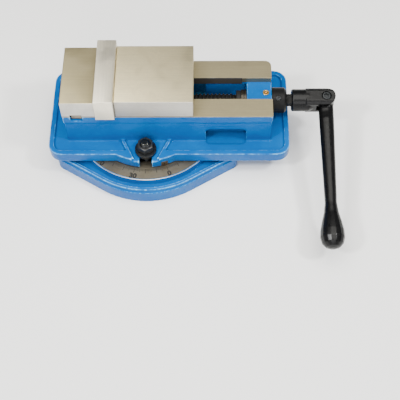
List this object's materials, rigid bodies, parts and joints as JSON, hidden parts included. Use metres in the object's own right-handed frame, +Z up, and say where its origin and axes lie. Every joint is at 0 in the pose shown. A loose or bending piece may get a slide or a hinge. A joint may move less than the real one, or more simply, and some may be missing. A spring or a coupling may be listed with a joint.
{
  "type": "machine vise with swivel base",
  "caption": "Milling machine vise: ground jaws on a hollow cast bed, angle-locking drive nut and thrust-bearing screw, hinged crank handle, and a graduated swivel base.",
  "frame": {"origin": "on the swivel axis, at the base's machined underside", "axes": "+X along the vise from the fixed jaw to the handle, -Y to the operator's side, +Z up along the swivel axis"},
  "size_m": [0.3758, 0.3101, 0.1352],
  "materials": {
    "enamel": "gloss blue enamel on cast iron",
    "ground": "ground",
    "hardened": "fine ground, hardened",
    "black_oxide": "black oxide",
    "bearing_steel": "polished",
    "bronze": "machined bronze",
    "brass": "turned"
  },
  "bodies": {
    "base": {"swivel_base": "enamel", "pivot_pin": "bearing_steel"},
    "vise": {"bed": "enamel", "front_swivel_bolt": "black_oxide", "back_swivel_bolt": "black_oxide", "fixed_jaw": "ground", "cross_key": "black_oxide", "fixed_jaw_bolt_front": "black_oxide", "fixed_jaw_bolt_back": "black_oxide", "fixed_jaw_plate": "hardened", "fixed_plate_screw_front": "black_oxide", "fixed_plate_screw_back": "black_oxide", "oil_cup": "brass", "thrust_race_bed": "bearing_steel"},
    "front_washer": {"front_washer": "black_oxide"},
    "front_nut": {"front_nut": "black_oxide"},
    "back_washer": {"back_washer": "black_oxide"},
    "back_nut": {"back_nut": "black_oxide"},
    "oil_cup_ball": {"oil_cup_ball": "brass"},
    "screw": {"lead_screw": "black_oxide", "thrust_race_screw": "bearing_steel", "retaining_collar": "black_oxide", "collar_set_screw": "black_oxide"},
    "roller_cage": {"roller_cage": "bearing_steel"},
    "jaw": {"movable_jaw": "ground", "movable_jaw_plate": "hardened", "movable_plate_screw_front": "black_oxide", "movable_plate_screw_back": "black_oxide", "drive_nut": "bronze", "half_ball": "bearing_steel", "jaw_adjusting_screw": "black_oxide"},
    "handle": {"handle_socket": "black_oxide", "handle_pivot_screw": "black_oxide"},
    "handle_arm": {"handle_arm": "black_oxide"}
  },
  "joints": [
    {"name": "swivel", "type": "hinge", "parent": "base", "child": "vise", "pos_m": [0, 0, 0.033], "axis": [0, 0, 1], "continuous": true},
    {"name": "front_washer_lift", "type": "slide", "parent": "vise", "child": "front_washer", "axis": [0, 0, 1], "range_m": [0, 0.0035]},
    {"name": "front_nut_turn", "type": "hinge", "parent": "front_washer", "child": "front_nut", "pos_m": [0, -0.06, 0.055], "axis": [0, 0, 1], "range_deg": [0, 720]},
    {"name": "back_washer_lift", "type": "slide", "parent": "vise", "child": "back_washer", "axis": [0, 0, 1], "range_m": [0, 0.0035]},
    {"name": "back_nut_turn", "type": "hinge", "parent": "back_washer", "child": "back_nut", "pos_m": [0, 0.06, 0.055], "axis": [0, 0, 1], "range_deg": [0, 720]},
    {"name": "oil_cup_ball_press", "type": "slide", "parent": "vise", "child": "oil_cup_ball", "axis": [0, 0, -1], "range_m": [0, 0.0008], "stiffness_N_per_m": 300, "springref_m": -0.001},
    {"name": "screw_turn", "type": "hinge", "parent": "vise", "child": "screw", "pos_m": [0.17, 0, 0.0734], "axis": [1, 0, 0], "range_deg": [0, 7200]},
    {"name": "roller_cage_turn", "type": "hinge", "parent": "vise", "child": "roller_cage", "pos_m": [0.13, 0, 0.0734], "axis": [1, 0, 0], "range_deg": [0, 3600]},
    {"name": "jaw_slide", "type": "slide", "parent": "vise", "child": "jaw", "axis": [1, 0, 0], "range_m": [0, 0.1001]},
    {"name": "handle_pull", "type": "slide", "parent": "screw", "child": "handle", "axis": [1, 0, 0], "range_m": [0, 0.03]},
    {"name": "handle_arm_pivot", "type": "hinge", "parent": "handle", "child": "handle_arm", "pos_m": [0.2338, 0, 0.0734], "axis": [0, -0.1736, 0.9848], "range_deg": [-8, 90]}
  ],
  "couplings": [
    {"joint": "jaw_slide", "follows": "screw_turn", "m_per_rad": 0.00079577},
    {"joint": "roller_cage_turn", "follows": "screw_turn", "ratio": 0.5},
    {"joint": "front_nut_turn", "follows": "front_washer_lift", "rad_per_m": 3590.4},
    {"joint": "back_nut_turn", "follows": "back_washer_lift", "rad_per_m": 3590.4}
  ]
}
